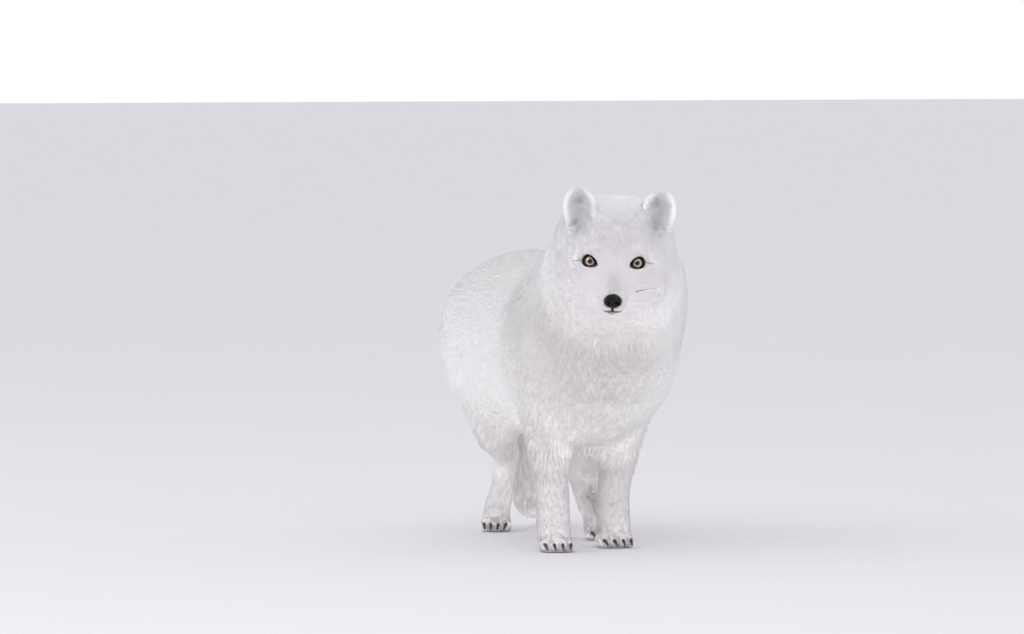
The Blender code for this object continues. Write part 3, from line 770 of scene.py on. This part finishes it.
# No tufts on the eyes, the nose, the lips or the soles, and short ones next to the eyes
rim_reach = np.full(len(outline), 9.0)
for side in (-1, 1):
    out, rise, off = in_eye(inside, side)
    close = (off > 0) & (np.hypot(out, rise) < 0.025)
    rim_reach[close] = teardrop(out, rise, *RIM)[close]
crowd *= smoothstep(0.97, 1.10, rim_reach)
reach_out *= 0.35 + 0.65 * smoothstep(1.0, 2.2, rim_reach)
nose_near = np.linalg.norm((at_head - in_head(np.array(middle("nose")))) / (0.0110, 0.0085, 0.0082), axis=1)
crowd *= nose_near > 1.0
crowd *= 1 - smoothstep(0.30, 0.55, in_mouth)
lip_near = np.hypot((at_head[:, 0] + 0.0008) / 0.0058, (at_head[:, 2] - MOUTH_HEIGHT + 0.0034) / 0.0044)
crowd *= np.where(at_head[:, 1] < -0.045, smoothstep(0.6, 1.2, lip_near), 1)
crowd[(up < 0.004) & (outward[:, 2] <= -0.75)] = 0


def wander(points, scale):
    """A slow, repeatable drift over space, between -1 and 1."""
    x, y, z = (points * scale).T
    first = np.sin(x + 1.7 * np.sin(y))
    second = np.sin(y * 1.3 + 1.1 * np.sin(z))
    third = np.sin(z * 0.9 + 1.9 * np.sin(x * 0.8))
    return (first + second + third) / 3


def areas_of(corners):
    """Twice the area of each triangle, from its three corners."""
    return np.linalg.norm(np.cross(corners[:, 1] - corners[:, 0], corners[:, 2] - corners[:, 0]), axis=1)


def keep(piece, slot, *nodes):
    """Makes a finished piece part of the fox: it rides on the frame and stands for these nodes."""
    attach(piece, "root")
    if nodes:
        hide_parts(*nodes)


SOFTNESS = 0.9  # how far the shading of a tuft follows the body under it rather than its own sides
TUFTS_IN_CLUMP = 14
PATCH = 0.003  # how much of the bake map one tuft takes up


def grow(name, chosen, count, seed, clump=0.12, untidy=0.10, standing=False):
    """Grows one piece of the coat on the skin's triangles that are chosen."""
    rng = np.random.default_rng(seed)
    mine = triangles[chosen[triangles[:, 0]]]
    size = 0.25 * areas_of(inside[mine]) + 0.75 * areas_of(outline[mine])
    share = np.cumsum(size * crowd[mine].mean(axis=1))
    steps = (np.arange(count) + rng.random(count)) / count * share[-1]
    picked = mine[np.minimum(np.searchsorted(share, steps), len(mine) - 1)]
    mix = rng.random((count, 2))
    mix[mix.sum(axis=1) > 1] = 1 - mix[mix.sum(axis=1) > 1]
    parts = np.column_stack((1 - mix.sum(axis=1), mix))

    def here(field):
        """A field of the skin at the roots."""
        return np.einsum("nk,nk...->n...", parts, field[picked])

    root, top, normal = here(inside), here(outline), unit(here(outward))
    lie, fur, run, wide = unit(here(flow)), here(depth), here(reach_out), here(girth)
    loose = here(fluff) * rng.random(count) ** 2
    beside = unit(np.cross(normal, lie))
    swing = untidy * rng.normal(size=count) + 0.09 * wander(top, 38.0) + 0.06 * wander(top, 110.0)
    lie = lie * np.cos(swing)[:, None] + beside * np.sin(swing)[:, None]
    run = run * (0.70 + 0.55 * rng.random(count))
    height = 0.90 + 0.10 * rng.random(count)

    goal = top + lie * run[:, None]
    tip = np.empty_like(goal)
    tip_normal = np.empty_like(goal)
    for number in range(count):
        place, face_normal, _, _ = outline_tree.find_nearest(Vector(goal[number]))
        short = (1 - height[number]) * (fur[number] + 0.0008)
        tip[number] = place + face_normal * (loose[number] - short)
        tip_normal[number] = face_normal
    if standing:
        tip = goal
    if clump:
        leaders = KDTree(count // TUFTS_IN_CLUMP + 1)
        for number in range(0, count, TUFTS_IN_CLUMP):
            leaders.insert(Vector(top[number]), number)
        leaders.balance()
        led_by = np.array([leaders.find(Vector(point))[1] for point in top])
        pull = clump * (0.5 + 0.5 * rng.random(count))
        away = tip[led_by] - tip
        tip += away * pull[:, None] * (np.linalg.norm(away, axis=1) < 0.02)[:, None]
    knee = root + normal * (fur * (0.72 + 0.15 * rng.random(count)))[:, None] + lie * (run * 0.30)[:, None]
    knee += normal * 0.0003
    tip[:, 2] = np.maximum(tip[:, 2], 0.0006)
    knee[:, 2] = np.maximum(knee[:, 2], 0.0012)

    along = unit(tip - knee)
    side = unit(np.cross(along, normal))
    lift = unit(np.cross(side, along))
    half = (wide * (0.75 + 0.5 * rng.random(count)) / 2)[:, None]
    knee += lift * half * 0.6
    points = np.stack((root, knee + side * half, knee - side * half, tip), axis=1)
    pattern = np.array(((0, 2, 1), (0, 1, 3), (0, 3, 2), (3, 1, 2)))
    first, second, third = (points[:, column] - root[:, None] for column in pattern.T)
    inside_out = np.einsum("nij,nij->n", first, np.cross(second, third)) < 0
    order = np.where(inside_out[:, None, None], pattern[None, :, ::-1], pattern[None])
    faces = (order + 4 * np.arange(count)[:, None, None]).reshape(-1, 3)

    mesh = bpy.data.meshes.new(name)
    mesh.vertices.add(4 * count)
    mesh.vertices.foreach_set("co", points.astype(np.float32).ravel())
    mesh.loops.add(faces.size)
    mesh.loops.foreach_set("vertex_index", faces.astype(np.int32).ravel())
    mesh.polygons.add(len(faces))
    mesh.polygons.foreach_set("loop_start", np.arange(0, faces.size, 3, dtype=np.int32))
    mesh.update(calc_edges=True)
    mesh.shade_smooth()
    own = np.empty(12 * count, np.float32)
    mesh.vertex_normals.foreach_get("vector", own)
    turned = unit(here(facing))
    tip_turned = unit(turned + unit(here(facing) - normal + tip_normal))
    body = np.stack((turned, turned, turned, tip_turned), axis=1).reshape(-1, 3)
    soft = unit(SOFTNESS * body + (1 - SOFTNESS) * own.reshape(-1, 3))
    mesh.normals_split_custom_set_from_vertices(soft.tolist())
    reach = mesh.attributes.new("reach", "FLOAT", "POINT")
    reach.data.foreach_set("value", np.tile((0, 0.5, 0.5, 1), count).astype(np.float32))
    shade = mesh.attributes.new("shade", "FLOAT", "POINT")
    shade.data.foreach_set("value", np.repeat(rng.random(count), 4).astype(np.float32))

    # Bake map: the skin is unwrapped by the six ways it can face, and each tuft is a small patch at its root
    axis = np.abs(normal).argmax(axis=1)
    way = axis * 2 + (normal[np.arange(count), axis] > 0)
    flat_at = np.stack([root[np.arange(count), (axis + step) % 3] for step in (1, 2)], axis=1)
    cell = np.empty((count, 2))
    for number in range(6):
        members = way == number
        if members.any():
            low, high = flat_at[members].min(axis=0), flat_at[members].max(axis=0)
            spot = (flat_at[members] - low) / np.maximum(high - low, 1e-6)
            cell[members] = (np.array((number % 3, number // 3)) + 0.02 + 0.95 * spot) / (3, 2)
    patch = np.array(((0.5, 0), (0, 0.5), (1, 0.5), (0.5, 1))) * PATCH
    spots = (cell[:, None] + patch[None]).reshape(-1, 2)[faces.ravel()]
    mesh.uv_layers.new(name="OFBake").data.foreach_set("uv", spots.astype(np.float32).ravel())

    piece = bpy.data.objects.new(name, mesh)
    bpy.context.collection.objects.link(piece)
    mesh.materials.append(coat_material)
    keep(piece, "coat")


coat_recipe = Recipe(
    "winter_fur", Roughness=0.75, Specular_IOR_Level=0.04, Sheen_Weight=0.12, Sheen_Roughness=0.5
)
reach_wire = coat_recipe.node("ShaderNodeAttribute", {"attribute_name": "reach"}, output="Fac")
shade_wire = coat_recipe.node("ShaderNodeAttribute", {"attribute_name": "shade"}, output="Fac")
fur_colour = coat_colour(coat_recipe)
deep = coat_recipe.mix(reach_wire.below(0.15, 0.6) * 0.5, fur_colour, (0.95, 0.935, 0.93))
coat_material = coat_recipe.finish(Base_Color=coat_recipe.mix(shade_wire * 0.08, deep, (0.88, 0.86, 0.87)))

face_part = head_part & (face_distance < 0.075)
rest_of_head = head_part & (face_distance > 0.069)
grow("coat_face", face_part, count=38000, seed=1, clump=0.1, untidy=0.08)
grow("coat_head", rest_of_head, count=45000, seed=2)
grow("coat_ears", belongs["ear_"], count=14000, seed=3, clump=0.1)

# Hairs that stand out of the front of each ear and fill its hollow
ear_front = belongs["ear_"] & ((outward @ head_axes)[:, 1] < -0.12)
tall = np.zeros(len(outline))
for node in ("ear_left", "ear_right"):
    mine = owner == flesh_nodes.index(node)
    heart = in_head(np.array(middle(node)))
    over = (heart[0] - at_head[mine][:, 0]) / 0.016
    tall[mine] = (at_head[mine][:, 2] - heart[2]) / 0.020
    upwards = 0.55 - 0.85 * np.clip(tall[mine] + 0.1, 0, 1)
    standing_hair = np.column_stack((over * 0.9, np.full(mine.sum(), -0.55), upwards))
    flow[mine] = unit(standing_hair) @ head_axes.T
crowd[ear_front] *= (1 - smoothstep(0.7, 1.5, tall))[ear_front]
reach_out[ear_front] = (0.0120 - 0.0070 * np.clip(0.7 * tall + 0.4, 0, 1))[ear_front]
grow("coat_ear_lining", ear_front, count=15000, seed=11, clump=0, untidy=0.30, standing=True)

# The long coat of the neck, the trunk and the tail, and the short one of the legs and the paws
left = outline[:, 0] > 0
grow("coat_neck_left", belongs["neck"] & left, count=40000, seed=4)
grow("coat_neck_right", belongs["neck"] & ~left, count=40000, seed=5)
grow("coat_trunk_left", belongs["trunk"] & left, count=47000, seed=6)
grow("coat_trunk_right", belongs["trunk"] & ~left, count=47000, seed=7)
grow("coat_tail", belongs["tail"], count=20000, seed=8)
grow("coat_legs", legs, count=44000, seed=9, clump=0.1, untidy=0.08)
grow("coat_paws", belongs["paw_"], count=22000, seed=10, clump=0.1)

# The skin is grown over by now, so it needs fewer points
apply_modifier(skin, "DECIMATE", ratio=0.55)
keep(skin, "coat", *flesh_nodes)


# Eyes -------------------------------------------------------------------------------------------------
# Glass eyes, set in the lids: a dark ball with a slightly raised cornea, a pale brown iris that is
# darker towards the middle, and a round pupil. Both look at the camera.

CORNEA_BULGE = 0.0006
PUPIL = 0.0019

for node in ("eye_right", "eye_left"):
    stand = Matrix.Translation(middle(node)) @ to_camera.to_track_quat("Z", "Y").to_matrix().to_4x4()
    bpy.ops.mesh.primitive_uv_sphere_add(segments=48, ring_count=32, radius=EYE_RADIUS)
    eye = bpy.context.object
    eye.name = eye.data.name = f"{node}_glass"
    for vertex in eye.data.vertices:
        bulge = max(0.0, vertex.co.z / EYE_RADIUS - 0.72) / 0.28
        vertex.co.z += CORNEA_BULGE * bulge
    eye.data.transform(stand)
    eye.data.shade_smooth()
    glass = Recipe(
        f"{node}_glass", Roughness=0.4, Specular_IOR_Level=0.0, Coat_Weight=0.38, Coat_Roughness=0.04
    )
    inverse = stand.inverted()
    across, rise, _ = glass.split(glass.place(rotation=inverse.to_euler(), location=inverse.translation))
    ring = (across * across + rise * rise) ** 0.5
    spokes = glass.join(across / (ring + 0.0008), rise / (ring + 0.0008), ring * 60)
    iris = glass.mix(glass.noise(spokes, 6.0), (0.25, 0.20, 0.145), (0.49, 0.435, 0.36))
    iris = glass.mix(ring.below(0.0022, 0.0022) * 0.85, iris, (0.085, 0.030, 0.014))
    iris = glass.mix(ring.above(0.0047, 0.0008), iris, (0.020, 0.012, 0.008))
    iris = glass.mix(ring.below(PUPIL, 0.0006), iris, (0.006, 0.002, 0.001))
    eye.data.materials.append(glass.finish(Base_Color=iris))
    keep(eye, "cornea", node)


# Nose -------------------------------------------------------------------------------------------------
# Black, pebbled leather with two comma-shaped nostrils and a groove down the middle. It sits on the end
# of the muzzle, and the short fur stops at its edge.

NOSTRIL_DEPTH = 0.0032
NOSE_GROOVE_DEPTH = 0.0007

bpy.ops.mesh.primitive_uv_sphere_add(segments=56, ring_count=40, radius=1)
nose = bpy.context.object
nose.name = nose.data.name = "nose_pad"
for vertex in nose.data.vertices:
    x, y, z = vertex.co
    wide = 0.0104 * (1 - 0.10 * max(0.0, z)) * (1 + 0.05 * max(0.0, -z))
    long = 0.0079 * (1 - 0.12 * max(0.0, z))
    vertex.co = Vector((x * wide, y * long + 0.0012 * z, z * 0.0080))
    if y < 0:
        over = abs(vertex.co.x) - 0.0052
        rise = vertex.co.z
        nostril = math.hypot(over / 0.0022, (rise + 0.0004 - 0.35 * over) / 0.0017)
        nostril_tail = math.hypot((abs(vertex.co.x) - 0.0080) / 0.0022, (rise + 0.0022) / 0.0009)
        hollow = max(0.0, 1 - nostril**2) + 0.7 * max(0.0, 1 - nostril_tail**2)
        groove = math.exp(-((vertex.co.x / 0.0006) ** 2)) * (1 if rise < 0.003 else 0.4)
        vertex.co.y += NOSTRIL_DEPTH * min(hollow, 1.0) + NOSE_GROOVE_DEPTH * groove
nose.data.transform(HEAD @ Matrix.Translation(HEAD.inverted() @ middle("nose")))
nose.data.shade_smooth()
leather = Recipe("nose_leather", Roughness=0.20, Specular_IOR_Level=0.10)
pebbles = leather.node("ShaderNodeTexVoronoi", {}, {"Vector": leather.place(), "Scale": 1000.0})
leather.bump(pebbles, 1.0, 0.0010)
blotch = leather.noise(leather.place(), 300.0)
black = leather.mix(blotch, (0.001, 0.001, 0.001), (0.004, 0.0035, 0.0045))
nose.data.materials.append(leather.finish(Base_Color=black))
keep(nose, "nose_leather", "nose")


# Whiskers ---------------------------------------------------------------------------------------------
# Stiff, tapering hairs: four pale ones rooted in each side of the muzzle, one above the other, and a dark
# one on the left cheek. Each is a thin tube.

WHISKER_ROWS = 4
WHISKER_STEPS = 8
WHISKER_SIDES = 5


def whisker(root, heading, length, droop, thickness):
    """A tapering hair with a slight bend: a tube that ends in a point."""
    heading = heading.normalized()
    beside = heading.cross(Vector((0, 0, 1))).normalized()
    over = beside.cross(heading)
    points, faces = [], []
    for step in range(WHISKER_STEPS):
        part = step / WHISKER_STEPS
        centre = root + heading * (length * part) - Vector((0, 0, 1)) * (droop * part * part)
        radius = thickness / 2 * (1 - part) ** 0.7
        for turn in range(WHISKER_SIDES):
            angle = 2 * math.pi * turn / WHISKER_SIDES
            points.append(centre + beside * (radius * math.cos(angle)) + over * (radius * math.sin(angle)))
    points.append(root + heading * length - Vector((0, 0, 1)) * droop)
    for start in range(0, WHISKER_SIDES * (WHISKER_STEPS - 1), WHISKER_SIDES):
        end = start + WHISKER_SIDES
        for turn in range(WHISKER_SIDES):
            following = (turn + 1) % WHISKER_SIDES
            faces.append((start + turn, start + following, end + following, end + turn))
    last = WHISKER_SIDES * (WHISKER_STEPS - 1)
    for turn in range(WHISKER_SIDES):
        faces.append((last + turn, last + (turn + 1) % WHISKER_SIDES, last + WHISKER_SIDES))
    faces.append(tuple(reversed(range(WHISKER_SIDES))))
    return points, faces


def whisker_piece(name, hairs, colour):
    """One piece from hairs that are given in the head's frame."""
    points, faces = [], []
    for hair in hairs:
        more_points, more_faces = whisker(*hair)
        faces += [tuple(corner + len(points) for corner in face) for face in more_faces]
        points += [HEAD @ point for point in more_points]
    mesh = bpy.data.meshes.new(name)
    mesh.from_pydata(points, [], faces)
    mesh.shade_smooth()
    piece = bpy.data.objects.new(name, mesh)
    bpy.context.collection.objects.link(piece)
    mesh.materials.append(Recipe(name, Roughness=0.4).finish(Base_Color=colour))
    keep(piece, "coat")


rng = np.random.default_rng(21)
pale_hairs = []
for side in (-1, 1):
    for row in range(WHISKER_ROWS):
        root = Vector((side * 0.0135, -0.052, -0.0270 - 0.0030 * row))
        heading = Vector((side, 0.10 + 0.25 * rng.random(), 0.16 - 0.13 * row + 0.10 * rng.random()))
        length = 0.022 + 0.008 * rng.random()
        droop = 0.002 + 0.006 * rng.random()
        pale_hairs.append((root, heading, length, droop, 0.00020))
whisker_piece("whiskers_pale", pale_hairs, (0.74, 0.72, 0.74))
before_cheek = HEAD @ Vector((0.0268, -0.12, -0.0306))
cheek_point = outline_tree.ray_cast(before_cheek, HEAD.to_3x3() @ Vector((0, 1, 0)))[0]
dark_root = HEAD.inverted() @ cheek_point + Vector((0, 0.0005, 0))
dark_hair = (dark_root, Vector((0.0240, 0.000, 0.0085)), 0.027, 0.0042, 0.00110)
whisker_piece("whisker_dark", [dark_hair], (0.075, 0.060, 0.065))


# Claws ------------------------------------------------------------------------------------------------
# Short, dark, hooked horn that comes out of the fur of the toes. Each is its frame node, swollen a
# little and rounded.

CLAW_SWELL = 0.0006

horn = Recipe("claw_horn", Roughness=0.35, Specular_IOR_Level=0.25)
grain = horn.noise(horn.place(scale=(1, 0.2, 1)), 700.0, detail=3)
horn_material = horn.finish(Base_Color=horn.mix(grain, (0.018, 0.014, 0.013), (0.065, 0.050, 0.046)))
for node in sorted(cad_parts):
    if node.startswith("claw_"):
        claw = copy_of(node)
        claw.name = claw.data.name = f"{node}_horn"
        apply_modifier(claw, "DISPLACE", strength=CLAW_SWELL, mid_level=0)
        apply_modifier(claw, "SUBSURF", levels=2, render_levels=2)
        claw.data.materials.clear()
        claw.data.materials.append(horn_material)
        claw.data.shade_smooth()
        keep(claw, "horn", node)
